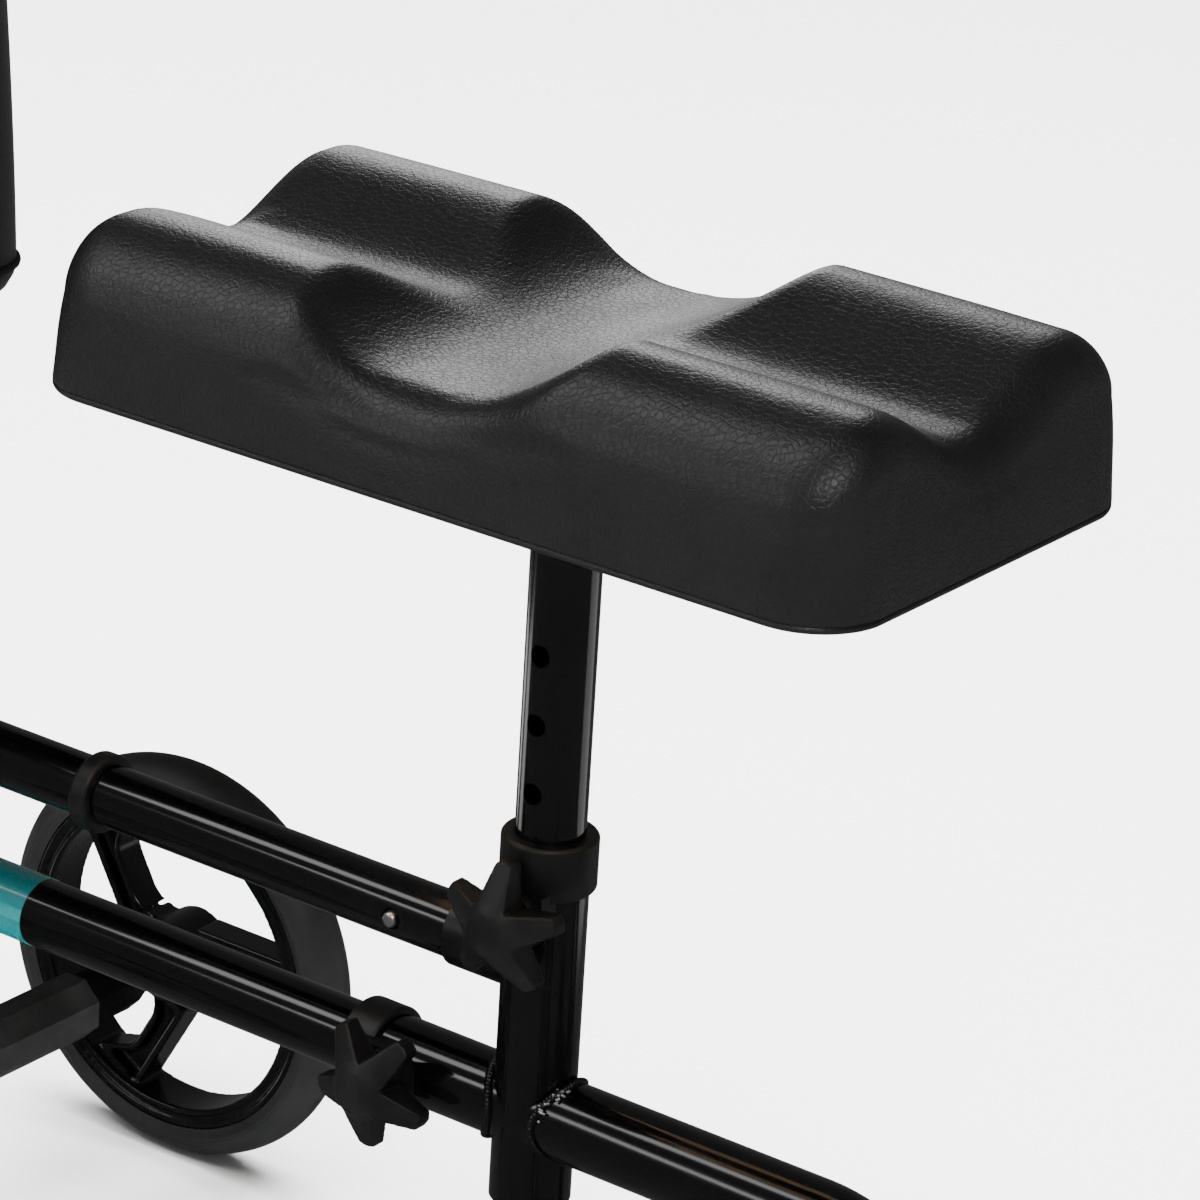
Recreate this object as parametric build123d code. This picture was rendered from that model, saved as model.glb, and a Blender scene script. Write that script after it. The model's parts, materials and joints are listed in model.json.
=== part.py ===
from build123d import *
import math
import os

# Knee scooter. Millimetres, +X forward, +Y to the rider's left, +Z up.
# Pieces are drawn with X and Y from the seat post's axis and Z from the floor.
# save() moves them, so that the origin is on the floor under the middle of the object's box.

# Wheels
WHEEL_R = 95.25
TYRE_WIDTH = 28.0
RIM_R = 80.0
RIM_INNER_R = 71.0
RIM_WIDTH = 24.0
HUB_R = 19.0
HUB_LENGTH = 28.0
HALF_TRACK = 197.0
FRONT_AXLE_X = 345.0
REAR_AXLE_X = -255.0
AXLE_R = 5.0
AXLE_HALF = 222.0
BEARING_R = 13.0
BEARING_WIDTH = 8.0
SPACER_R = 7.5
SPOKE_ANGLES = (60, 180, 300)
SPOKE_FAR_EDGE = -20.0
SPOKE_NEAR_EDGE = -7.0
SPOKE_DEPTH = 16.0
SPOKE_WEB = 3.0
SPOKE_RIB = 3.6

# Frame tubes
MAIN_R = 15.9
MAIN_BORE_R = 14.3
LOWER_R = 14.2
LOWER_BORE_R = 12.6
UPPER_R = 12.7
UPPER_BORE_R = 11.2
SPIGOT_R = 11.1
SPIGOT_BORE_R = 9.6
LOWER_Z = 214.0
UPPER_Z = 277.0
SLEEVE_BOTTOM = 177.6
SLEEVE_TOP = 311.0
STUB_END = 81.0
CROSS_HALF = 165.0
PLUG_R = 13.9
SOCKET_R = 14.5
SOCKET_END = 38.0
HEAD_R = 19.0
HEAD_BORE_R = 16.0
HEAD_BOTTOM = 192.0
HEAD_TOP = 300.0

# Snap button that locks the upper tube on its spigot
BUTTON_X = 63.7
BUTTON_R = 3.2
BUTTON_HOLE_R = 4.4

# Seat
POST_R = 13.6
POST_BORE_R = 11.6
POST_BOTTOM = 215.0
POST_HOLE_R = 4.25
HOLE_STEP = 27.6
FIRST_HOLE_Z = 404.5
SEAT_HOLES = 6
PAD_LENGTH = 362.0
PAD_WIDTH = 196.0
PAD_CORNER_R = 29.0
PAD_BOTTOM = 484.5
PAD_HEIGHT = 70.0
BOARD_THICK = 9.0
PLATE_THICK = 4.0

# Clamp collars and star knobs
COLLAR_WALL = 2.8
POST_COLLAR = (8.0, 30.0)
FRAME_COLLAR = (9.5, 26.0)
KNOB_R = 25.5
KNOB_BASE = 24.0
KNOB_HEIGHT = 15.0
INSERT_R = 7.0
SCREW_R = 4.0
RUNNING = 0.05
CLEAR = 0.3
SEAT_KNOB_Z = 300.0
FRAME_KNOB_X = 58.0

# Steering column
STEERER_R = 14.3
STEERER_BORE_R = 12.3
STEERER_TOP = 575.0
BEAM_FLATS = 28.0
BEAM_HALF = 126.0
FOLD_Z = 612.0
FOLD_PIN_R = 4.0
LEVER_Y = 31.5
COLUMN_BOTTOM = 646.0
COLUMN_TOP = 815.0
STEM_BOTTOM = 735.0
BAR_Z = 925.0
BAR_R = 11.1
BAR_BORE_R = 9.3
BAR_STRAIGHT = 60.0
BAR_END = (300.0, 228.0)
BAR_BEND_R = 60.0
GRIP_R = 16.0
GRIP_LENGTH = 115.0

# Brake lever on the right grip: distances along the grip, forwards from the bar, and half thicknesses
LEVER_PIVOT = 30.0
LEVER_FORWARD = 27.0
LEVER_HALF = 4.0
BRACKET_HALF = 9.0

# Drum brake on the right rear wheel
DRUM_R = 36.0
CAM_R = 4.0
CAM_X = REAR_AXLE_X + 6
CAM_Z = WHEEL_R + 24
ARM_LENGTH = 40.0

# Front bag
BAG_BACK = 372.0
BAG_FRONT = 490.0
BAG_HALF = 130.0
BAG_BOTTOM = 407.0
BAG_TOP = 640.0
BAG_WALL = 4.0

TO_ORIGIN = Pos(-(REAR_AXLE_X - WHEEL_R + BAG_FRONT) / 2, 0, 0)


def rod(start, end, radius):
    """A solid cylinder from one point to another."""
    start, end = Vector(*start), Vector(*end)
    plane = Plane(origin=start, z_dir=end - start)
    return extrude(plane * Circle(radius), amount=(end - start).length)


def tube(start, end, outer, inner):
    """A straight open tube. Its bore tool runs a little past both ends."""
    start, end = Vector(*start), Vector(*end)
    over = (end - start).normalized()
    return rod(start, end, outer) - rod(start - over, end + over, inner)


def prism(sketch, origin, normal, amount):
    """A sketch pushed along a normal from a point."""
    return extrude(Plane(origin=origin, z_dir=normal) * sketch, amount=amount)


def hex_nut(start, end, flats, bore):
    """A hexagon nut between two points on its axis."""
    start, end = Vector(*start), Vector(*end)
    plane = Plane(origin=start, z_dir=end - start)
    outline = RegularPolygon(radius=flats / math.sqrt(3), side_count=6) - Circle(bore)
    return extrude(plane * outline, amount=(end - start).length)


def box(x, y, z):
    """A box from its limits on each axis."""
    size = [high - low for low, high in (x, y, z)]
    centre = [(high + low) / 2 for low, high in (x, y, z)]
    return Pos(*centre) * Box(*size)


def group(*pieces):
    """Separate solids that share one node."""
    return Compound([solid for piece in pieces for solid in piece.solids()])


def save(name, shape):
    export_step(TO_ORIGIN * shape, f"parts/{name}.step")


# ---------- wheels ----------

def spoke_outline(angle, inset):
    """One spoke's outline. It lies to one side of the radius, and flares into the rim and hub."""
    far, near = SPOKE_FAR_EDGE + inset, SPOKE_NEAR_EDGE - inset
    start = HUB_R - 4 if inset == 0 else HUB_R + 2
    end = RIM_INNER_R + 1 if inset == 0 else RIM_INNER_R - 3
    flare, root = 17 - inset, 13 - inset
    points = [(start, far), (end, far), (end, near + flare)]
    points += [(end - flare, near), (start + root, near), (start, near + root)]
    outline = make_face(Polyline(points, close=True))
    elbows = [
        outline.vertices().sort_by_distance((x, near))[0]
        for x in (end - flare, start + root)
    ]
    return Rot(Z=angle) * fillet(elbows, radius=14)


def rim_solid():
    """The moulded rim, with its axis along Z: hub, three ribbed spokes and the tyre's seat."""
    rim = Cylinder(RIM_R, RIM_WIDTH) - Cylinder(RIM_INNER_R, RIM_WIDTH)
    rim += Cylinder(HUB_R, HUB_LENGTH)
    for angle in SPOKE_ANGLES:
        rim += extrude(spoke_outline(angle, 0), amount=SPOKE_DEPTH / 2, both=True)
    for angle in SPOKE_ANGLES:
        pocket = spoke_outline(angle, SPOKE_RIB)
        for side in (1, -1):
            depth = Pos(0, 0, side * SPOKE_WEB / 2)
            rim -= extrude(depth * pocket, amount=side * SPOKE_DEPTH)
    for side in (1, -1):
        groove = Cylinder(RIM_R - 3, 5) - Cylinder(RIM_INNER_R + 2.5, 5)
        rim -= Pos(0, 0, side * (RIM_WIDTH / 2 + 0.5)) * groove
        seat = Cylinder(BEARING_R, BEARING_WIDTH + 1)
        rim -= Pos(0, 0, side * (HUB_LENGTH / 2 - (BEARING_WIDTH - 1) / 2)) * seat
    return rim - Cylinder(AXLE_R + 3, HUB_LENGTH + 2)


def tyre_solid():
    """The solid tyre: flat on its seat, with full sides and a round crown."""
    half = TYRE_WIDTH / 2
    seat = RIM_WIDTH / 2
    side = Polyline((RIM_R, seat), (RIM_R + 4, half), (WHEEL_R - 9, half))
    other = Polyline((WHEEL_R - 9, -half), (RIM_R + 4, -half), (RIM_R, -seat))
    crown = ThreePointArc((WHEEL_R - 9, half), (WHEEL_R, 0), (WHEEL_R - 9, -half))
    base = Line((RIM_R, -seat), (RIM_R, seat))
    section = make_face([*side.edges(), *crown.edges(), *other.edges(), base])
    return Rot(X=-90) * revolve(section, axis=Axis.Y)


def bearing_pair():
    """Two ball bearings pressed into the hub's ends, flush with them."""
    ring = Cylinder(BEARING_R, BEARING_WIDTH) - Cylinder(AXLE_R + RUNNING, BEARING_WIDTH)
    face = Cylinder(10.6, 1) - Cylinder(7.4, 1)
    pair = []
    for side in (1, -1):
        middle = Pos(0, 0, side * (HUB_LENGTH - BEARING_WIDTH) / 2)
        pair.append(middle * (ring - Pos(0, 0, side * BEARING_WIDTH / 2) * face))
    return group(*pair)


def make_wheels():
    """Four wheels, each a tyre, a rim and a pair of bearings."""
    for end, x in (("front", FRONT_AXLE_X), ("rear", REAR_AXLE_X)):
        for side, sign in (("left", 1), ("right", -1)):
            place = Pos(x, sign * HALF_TRACK, WHEEL_R) * Rot(X=90)
            save(f"{end}_{side}_tyre", place * tyre_solid())
            save(f"{end}_{side}_rim", place * rim_solid())
            save(f"{end}_{side}_bearings", place * bearing_pair())


def axle_set(x, inner_face):
    """One axle through both wheels: spacers inside the hubs, washers and locknuts outside."""
    inside = HALF_TRACK - HUB_LENGTH / 2 - 0.2
    outside = HALF_TRACK + HUB_LENGTH / 2 + 0.2
    pieces = [rod((x, -AXLE_HALF, WHEEL_R), (x, AXLE_HALF, WHEEL_R), AXLE_R)]
    for sign in (1, -1):
        def at(y):
            return (x, sign * y, WHEEL_R)
        pieces.append(tube(at(inner_face), at(inside), SPACER_R, AXLE_R))
        pieces.append(tube(at(outside), at(outside + 1.6), SPACER_R + 2, AXLE_R))
        pieces.append(hex_nut(at(outside + 1.6), at(AXLE_HALF - 2), 15, AXLE_R))
    return group(*pieces)


# ---------- clamp collars and star knobs ----------

def star_knob(place, inner_r, turn):
    """A five-armed clamping knob and its screw, whose tip stops just short of the inner tube.

    Its own frame has the axis along Z, from the tube's axis outwards.
    """
    arm = make_face(Polyline(
        (0, 7.2), (11, 6.4), (KNOB_R, 3.6), (KNOB_R + 1, 0), (KNOB_R, -3.6), (11, -6.4), (0, -7.2), close=True
    ))
    arms = Circle(11.5)
    for step in range(5):
        arms += Rot(Z=turn + 72 * step) * arm
    crown = Polyline(
        (0, 0), (12, 0), (KNOB_R + 1, -2), (KNOB_R + 1, 4.5), (12, KNOB_HEIGHT - 3),
        (8.5, KNOB_HEIGHT - 0.5), (4, KNOB_HEIGHT + 0.5), (0, KNOB_HEIGHT + 0.5), close=True,
    )
    body = extrude(Pos(0, 0, -5) * arms, amount=KNOB_HEIGHT + 10)
    body &= revolve(Plane.XZ * make_face(crown), axis=Axis.Z)
    screw = rod((0, 0, inner_r + CLEAR), (0, 0, KNOB_BASE), SCREW_R)
    return place * group(Pos(0, 0, KNOB_BASE) * body, screw)


def clamp_collar(tube_r, inner_r, ring_start, ring_end, liner_length):
    """A moulded collar round a tube's end, with a liner, a tongue to the knob and a steel insert.

    Its own frame has the tube along X, the mouth towards +X, the knob's axis at X = 0 along Z.
    The tube's end is 3 mm inside the collar's lip, where the bore steps down to the inner tube.
    """
    outer = tube_r + COLLAR_WALL
    ring = rod((ring_start, 0, 0), (ring_end, 0, 0), outer)
    ring = fillet(ring.edges(), radius=1.8)
    boss = rod((0, 0, 0), (0, 0, KNOB_BASE - 0.5), 12)
    tongue = box((0, ring_start + 4), (-12, 12), (0, outer + 1))
    collar = ring + boss + tongue
    collar -= rod((-20, 0, 0), (ring_end - 3, 0, 0), tube_r)
    collar -= rod((0, 0, 0), (ring_end + 1, 0, 0), inner_r)
    collar -= box((-20, ring_start), (-30, 30), (-30, 0))
    collar -= rod((0, 0, 0), (0, 0, 30), INSERT_R)
    if liner_length:
        liner = tube((ring_end - 3 - liner_length, 0, 0), (ring_end - 3, 0, 0), MAIN_BORE_R, inner_r)
        collar += liner - rod((0, 0, 0), (0, 0, 30), SCREW_R + 0.5)
    insert = tube((0, 0, tube_r - 1), (0, 0, KNOB_BASE - 0.5), INSERT_R, SCREW_R + RUNNING)
    return group(collar, insert - rod((-20, 0, 0), (20, 0, 0), tube_r))


SEAT_CLAMP = Plane(origin=(0, 0, SEAT_KNOB_Z), x_dir=(0, 0, 1), z_dir=(0, 1, 0)).location
FRAME_CLAMP = Plane(origin=(FRAME_KNOB_X, 0, LOWER_Z), x_dir=(1, 0, 0), z_dir=(0, 1, 0)).location
COLUMN_KNOB_Z = COLUMN_TOP - POST_COLLAR[1] + 3
COLUMN_CLAMP = Plane(
    origin=(FRONT_AXLE_X, 0, COLUMN_KNOB_Z), x_dir=(0, 0, 1), z_dir=(0, 1, 0)
).location


def make_clamp(name, place, inner_r, ring, liner_length, turn):
    """One clamp: the collar and the star knob."""
    save(f"{name}_collar", place * clamp_collar(MAIN_R, inner_r, *ring, liner_length))
    save(f"{name}_knob", star_knob(place, inner_r, turn))


def screw_hole(place):
    """A clearance hole for a knob's screw through an outer tube's near wall."""
    return place * rod((0, 0, 5), (0, 0, 30), SCREW_R + 0.5)


# ---------- rear half of the frame ----------

def make_rear_frame():
    sleeve_axis = rod((0, 0, SLEEVE_BOTTOM), (0, 0, SLEEVE_TOP), MAIN_R)
    sleeve = tube((0, 0, SLEEVE_BOTTOM), (0, 0, SLEEVE_TOP), MAIN_R, MAIN_BORE_R)
    save("seat_sleeve", sleeve - screw_hole(SEAT_CLAMP))

    stub = tube((0, 0, LOWER_Z), (STUB_END, 0, LOWER_Z), MAIN_R, MAIN_BORE_R)
    stub -= screw_hole(FRAME_CLAMP)
    spigot = tube((0, 0, UPPER_Z), (100, 0, UPPER_Z), SPIGOT_R, SPIGOT_BORE_R)
    spigot -= rod((BUTTON_X, 0, UPPER_Z), (BUTTON_X, 20, UPPER_Z), BUTTON_R + RUNNING)
    save("frame_stubs", group(stub - sleeve_axis, spigot - sleeve_axis))

    socket = rod((8, 0, UPPER_Z), (SOCKET_END, 0, UPPER_Z), SOCKET_R)
    socket -= rod((22, 0, UPPER_Z), (SOCKET_END + 1, 0, UPPER_Z), UPPER_R)
    socket -= rod((5, 0, UPPER_Z), (SOCKET_END + 1, 0, UPPER_Z), SPIGOT_R)
    save("upper_socket", socket - sleeve_axis)

    cross = rod((REAR_AXLE_X, -CROSS_HALF, WHEEL_R), (REAR_AXLE_X, CROSS_HALF, WHEEL_R), MAIN_R)
    path = FilletPolyline(
        (0, 0, LOWER_Z), (-160, 0, LOWER_Z), (REAR_AXLE_X, 0, WHEEL_R), radius=60
    )
    start = Plane(origin=(0, 0, LOWER_Z), z_dir=(-1, 0, 0))
    main = sweep(start * Circle(MAIN_R), path=path) - sweep(start * Circle(MAIN_BORE_R), path=path)
    save("rear_main_tube", main - sleeve_axis - cross)

    cross_bore = rod((REAR_AXLE_X, -170, WHEEL_R), (REAR_AXLE_X, 170, WHEEL_R), PLUG_R)
    plugs = []
    for sign in (1, -1):
        def at(y):
            return (REAR_AXLE_X, sign * y, WHEEL_R)
        plug = tube(at(CROSS_HALF - 20), at(CROSS_HALF), PLUG_R, AXLE_R)
        plugs.append(plug + tube(at(CROSS_HALF), at(CROSS_HALF + 3), MAIN_R, AXLE_R))
    save("rear_cross_tube", group(cross - cross_bore, *plugs))
    save("rear_axle", axle_set(REAR_AXLE_X, CROSS_HALF + 3))


# ---------- snap button in the upper tube ----------

def make_snap_button():
    """A sprung button that locks the upper tube on its spigot, and its V spring."""
    def at(y):
        return (BUTTON_X, y, UPPER_Z)
    button = rod(at(8), at(UPPER_R + 2), BUTTON_R)
    button = fillet(button.edges().group_by(Axis.Y)[-1], radius=1.6)
    button += rod(at(7.2), at(8.4), BUTTON_R + 0.9)
    save("snap_button", button)

    near_leg = box((BUTTON_X + 4.5, 96), (7.4, 8.2), (UPPER_Z - 3, UPPER_Z + 3))
    bend = box((95.2, 96), (-8.2, 8.2), (UPPER_Z - 3, UPPER_Z + 3))
    far_leg = box((60, 96), (-8.2, -7.4), (UPPER_Z - 3, UPPER_Z + 3))
    save("snap_spring", near_leg + bend + far_leg)


# ---------- front half of the frame ----------

def make_front_frame():
    head_axis = rod((FRONT_AXLE_X, 0, HEAD_BOTTOM), (FRONT_AXLE_X, 0, HEAD_TOP), HEAD_R)
    lower = tube((30, 0, LOWER_Z), (FRONT_AXLE_X, 0, LOWER_Z), LOWER_R, LOWER_BORE_R)
    save("front_lower_tube", lower - head_axis)

    upper = tube((22, 0, UPPER_Z), (FRONT_AXLE_X, 0, UPPER_Z), UPPER_R, UPPER_BORE_R)
    upper -= rod((BUTTON_X, 0, UPPER_Z), (BUTTON_X, 20, UPPER_Z), BUTTON_HOLE_R)
    save("front_upper_tube", upper - head_axis)

    ring = tube((217.5, 0, UPPER_Z), (226.5, 0, UPPER_Z), 16.4, UPPER_R)
    corners = ring.edges().filter_by(GeomType.CIRCLE).sort_by(SortBy.RADIUS)[-2:]
    save("tube_ring", fillet(corners, radius=2))
    save("tube_label", tube((252, 0, LOWER_Z), (318, 0, LOWER_Z), LOWER_R + 0.25, LOWER_R))

    head = tube((FRONT_AXLE_X, 0, HEAD_BOTTOM), (FRONT_AXLE_X, 0, HEAD_TOP), HEAD_R, HEAD_BORE_R)
    save("head_tube", head)
    bushings = []
    for face, out in ((HEAD_BOTTOM, -1), (HEAD_TOP, 1)):
        def at(z):
            return (FRONT_AXLE_X, 0, z)
        flange = tube(at(face), at(face + 4 * out), HEAD_R + 1, STEERER_R + RUNNING)
        bushings.append(flange + tube(at(face), at(face - 20 * out), HEAD_BORE_R, STEERER_R + RUNNING))
    save("head_bushings", group(*bushings))


# ---------- rear drum brake ----------

def make_brake():
    """A small drum brake on the right rear wheel: drum, plate, shoes, and an arm on its cam."""
    def on_axle(y):
        return (REAR_AXLE_X, -y, WHEEL_R)

    def on_cam(y, up=0):
        return (CAM_X, -y, CAM_Z + up)

    hub_face = HALF_TRACK - HUB_LENGTH / 2
    drum = tube(on_axle(171), on_axle(hub_face - 2), DRUM_R, DRUM_R - 3)
    drum += tube(on_axle(hub_face - 2), on_axle(hub_face), DRUM_R, SPACER_R + 1.5)
    save("brake_drum", drum)

    stay_x = REAR_AXLE_X + DRUM_R - 6
    tab = (WHEEL_R - 6, WHEEL_R + 6)
    plate = rod(on_axle(168.2), on_axle(170.2), DRUM_R + 1)
    plate += box((stay_x, stay_x + 22), (-170.2, -168.2), tab)
    plate += box((stay_x + 20, stay_x + 22), (-170.2, -150), tab)
    plate -= rod((stay_x, -158, WHEEL_R), (stay_x + 30, -158, WHEEL_R), 2.6)
    plate -= rod(on_axle(160), on_axle(180), SPACER_R)
    save("brake_plate", plate - rod(on_cam(160), on_cam(180), CAM_R + RUNNING))

    shoes = tube(on_axle(170.2), on_axle(179), DRUM_R - 3.6, DRUM_R - 8)
    shoes -= rod(on_cam(165), on_cam(185), 9)
    anchor = box((REAR_AXLE_X - 5, REAR_AXLE_X + 5), (-185, -165), (WHEEL_R - DRUM_R, WHEEL_R))
    save("brake_shoes", shoes - anchor)

    arm = rod(on_cam(160.2), on_cam(164.2), 8)
    arm += rod(on_cam(160.2, ARM_LENGTH), on_cam(164.2, ARM_LENGTH), 4.5)
    arm += box((CAM_X - 4.5, CAM_X + 4.5), (-164.2, -160.2), (CAM_Z, CAM_Z + ARM_LENGTH))
    arm -= rod(on_cam(155), on_cam(170), CAM_R) + rod(on_cam(155, ARM_LENGTH), on_cam(170, ARM_LENGTH), 2)
    save("brake_arm", group(arm, rod(on_cam(160.2), on_cam(178), CAM_R)))


# ---------- seat ----------

def make_seat():
    post = tube((0, 0, POST_BOTTOM), (0, 0, PAD_BOTTOM - PLATE_THICK), POST_R, POST_BORE_R)
    for step in range(SEAT_HOLES):
        z = FIRST_HOLE_Z - step * HOLE_STEP
        post -= rod((0, 0, z), (0, 20, z), POST_HOLE_R)
    save("seat_post", post)
    cap = rod((0, 0, POST_BOTTOM - 2), (0, 0, POST_BOTTOM), POST_R - 0.5)
    cap += tube((0, 0, POST_BOTTOM), (0, 0, POST_BOTTOM + 14), POST_BORE_R, POST_BORE_R - 2)
    save("seat_post_plug", cap)

    plate = prism(RectangleRounded(150, 80, 10), (0, 0, PAD_BOTTOM - PLATE_THICK), (0, 0, 1), PLATE_THICK)
    gusset = box((-45, 45), (-2, 2), (PAD_BOTTOM - 34, PAD_BOTTOM - PLATE_THICK))
    gusset -= rod((0, 0, PAD_BOTTOM - 60), (0, 0, PAD_BOTTOM), POST_R)
    for side in (1, -1):
        low = PAD_BOTTOM - 35
        wedge = Polyline((side * 16, low), (side * 46, low), (side * 46, low + 30), close=True)
        gusset -= extrude(Plane.XZ * make_face(wedge), amount=5, both=True)
    corners = [(x, y) for x in (-62, 62) for y in (-29, 29)]
    for x, y in corners:
        plate -= rod((x, y, PAD_BOTTOM - 10), (x, y, PAD_BOTTOM + 1), 3.3)
    save("seat_plate", plate + gusset)

    screws = []
    seat_z = PAD_BOTTOM - PLATE_THICK
    for x, y in corners:
        head = rod((x, y, seat_z - 3.5), (x, y, seat_z), 5.5)
        screws.append(head + rod((x, y, seat_z), (x, y, PAD_BOTTOM + BOARD_THICK - 1), 3))
    save("seat_screws", group(*screws))

    outline = RectangleRounded(PAD_LENGTH - 16, PAD_WIDTH - 16, PAD_CORNER_R - 8)
    board = prism(outline, (0, 0, PAD_BOTTOM), (0, 0, 1), BOARD_THICK)
    for x, y in corners:
        board -= rod((x, y, PAD_BOTTOM - 1), (x, y, PAD_BOTTOM + BOARD_THICK - 1), 3)
    save("seat_board", board)

    skin = prism(RectangleRounded(PAD_LENGTH, PAD_WIDTH, PAD_CORNER_R), (0, 0, PAD_BOTTOM), (0, 0, 1), 3)
    foam = RectangleRounded(PAD_LENGTH, PAD_WIDTH, PAD_CORNER_R)
    foam = extrude(Pos(0, 0, PAD_BOTTOM) * foam, amount=PAD_HEIGHT, taper=4)
    valley_r, valley_floor = 52, PAD_BOTTOM + 43
    foam -= rod((-200, 0, valley_floor + valley_r), (200, 0, valley_floor + valley_r), valley_r)
    dip_r, dip_floor = 114, PAD_BOTTOM + 46
    foam -= rod((0, -120, dip_floor + dip_r), (0, 120, dip_floor + dip_r), dip_r)
    board_space = prism(outline, (0, 0, PAD_BOTTOM), (0, 0, 1), BOARD_THICK)
    save("knee_pad", (foam + skin) - board_space)


# ---------- steering ----------

def octagon(flats):
    """An octagon with flat top and bottom, given the distance across its flats."""
    return Rot(Z=22.5) * RegularPolygon(radius=flats / 2, side_count=8, major_radius=False)


def make_front_axle():
    centre = (FRONT_AXLE_X, 0, WHEEL_R)
    beam = Pos(*centre) * Rot(X=90) * extrude(octagon(BEAM_FLATS), amount=BEAM_HALF, both=True)
    bore = rod((FRONT_AXLE_X, -BEAM_HALF - 1, WHEEL_R), (FRONT_AXLE_X, BEAM_HALF + 1, WHEEL_R), 10)
    save("front_axle_beam", beam - bore)
    ends = []
    for sign in (1, -1):
        def at(y):
            return (FRONT_AXLE_X, sign * y, WHEEL_R)
        plug = rod(at(100), at(BEAM_HALF), 10)
        section = Plane(origin=at(BEAM_HALF), z_dir=(0, sign, 0), x_dir=(1, 0, 0))
        block = extrude(section * octagon(23), amount=30)
        nose = loft([
            section.offset(30) * octagon(23),
            section.offset(38) * octagon(17),
        ])
        ends.append(plug + block + nose - rod(at(90), at(170), AXLE_R))
    save("front_axle_ends", group(*ends))
    save("front_axle", axle_set(FRONT_AXLE_X, BEAM_HALF + 38))


def make_column():
    """The steerer, its collars, and the fixed half of the fold joint with its pin."""
    def at(z, x=FRONT_AXLE_X, y=0):
        return (x, y, z)
    save("steerer_tube", tube(at(WHEEL_R + BEAM_FLATS / 2), at(STEERER_TOP), STEERER_R, STEERER_BORE_R))
    race = tube(at(HEAD_BOTTOM - 12), at(HEAD_BOTTOM - 4.3), HEAD_R - 1, STEERER_R)
    stop = tube(at(HEAD_TOP + 4.3), at(HEAD_TOP + 22), HEAD_R + 1.5, STEERER_R)
    lug = box((FRONT_AXLE_X - 34, FRONT_AXLE_X - 14), (-9, 9), (HEAD_TOP + 4.3, HEAD_TOP + 22))
    slot = box((FRONT_AXLE_X - 40, FRONT_AXLE_X - 10), (-1, 1), (HEAD_TOP, HEAD_TOP + 30))
    stop = stop + (lug - rod(at(HEAD_TOP), at(HEAD_TOP + 30), STEERER_R)) - slot
    bolt_x, bolt_z = FRONT_AXLE_X - 27, HEAD_TOP + 13
    stop -= rod((bolt_x, -20, bolt_z), (bolt_x, 20, bolt_z), 3)
    bolt = rod((bolt_x, -12, bolt_z), (bolt_x, 13, bolt_z), 3)
    bolt += rod((bolt_x, 9, bolt_z), (bolt_x, 14, bolt_z), 5)
    bolt += hex_nut((bolt_x, -9, bolt_z), (bolt_x, -14, bolt_z), 10, 2.9)
    save("steerer_collars", group(race, stop, bolt))

    fork = rod(at(540), at(580), HEAD_R) - rod(at(539), at(STEERER_TOP), STEERER_R)
    cheeks = box((FRONT_AXLE_X - 17, FRONT_AXLE_X + 17), (-20, 20), (576, FOLD_Z))
    cheeks += rod((FRONT_AXLE_X, -20, FOLD_Z), (FRONT_AXLE_X, 20, FOLD_Z), 17)
    cheeks -= box((FRONT_AXLE_X - 30, FRONT_AXLE_X + 30), (-15, 15), (580, FOLD_Z + 30))
    fork += cheeks - rod(at(539), at(STEERER_TOP), STEERER_R)
    fork -= rod((FRONT_AXLE_X, -30, FOLD_Z), (FRONT_AXLE_X, 30, FOLD_Z), FOLD_PIN_R)
    save("fold_fork", fork)

    pin = rod((FRONT_AXLE_X, -24, FOLD_Z), (FRONT_AXLE_X, 32, FOLD_Z), FOLD_PIN_R)
    for low, high in ((-9, -2.8), (2.8, 9)):
        pin -= box((FRONT_AXLE_X + low, FRONT_AXLE_X + high), (23.5, 40), (FOLD_Z - 9, FOLD_Z + 9))
    pin += rod((FRONT_AXLE_X - 2.8, LEVER_Y, FOLD_Z), (FRONT_AXLE_X + 2.8, LEVER_Y, FOLD_Z), 4.5)
    pin -= rod((FRONT_AXLE_X - 5, LEVER_Y, FOLD_Z), (FRONT_AXLE_X + 5, LEVER_Y, FOLD_Z), 2 + RUNNING)
    nut = hex_nut((FRONT_AXLE_X, -20, FOLD_Z), (FRONT_AXLE_X, -26, FOLD_Z), 14, FOLD_PIN_R)
    washer = tube((FRONT_AXLE_X, 20, FOLD_Z), (FRONT_AXLE_X, 23.4, FOLD_Z), 9, FOLD_PIN_R)
    save("fold_pin", group(pin, nut, washer))


def make_fold_lever():
    """The quick-release lever: a cam in two cheeks on a cross pin, and a handle that lies downwards."""
    cam = rod((FRONT_AXLE_X - 8, LEVER_Y, FOLD_Z), (FRONT_AXLE_X + 8, LEVER_Y, FOLD_Z), 7.5)
    handle = box((FRONT_AXLE_X - 8, FRONT_AXLE_X + 8), (LEVER_Y + 1, LEVER_Y + 6), (FOLD_Z - 66, FOLD_Z))
    tip = handle.edges().filter_by(Axis.Y).group_by(Axis.Z)[0]
    handle = fillet(tip, radius=6)
    gap_x = (FRONT_AXLE_X - 3.1, FRONT_AXLE_X + 3.1)
    gap = box(gap_x, (LEVER_Y - 10, LEVER_Y + 10), (FOLD_Z - 9, FOLD_Z + 9))
    lever = cam + handle - gap
    cross = rod((FRONT_AXLE_X - 8, LEVER_Y, FOLD_Z), (FRONT_AXLE_X + 8, LEVER_Y, FOLD_Z), 2)
    save("fold_lever", group(lever - cross, cross))


# ---------- folding tiller ----------

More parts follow.
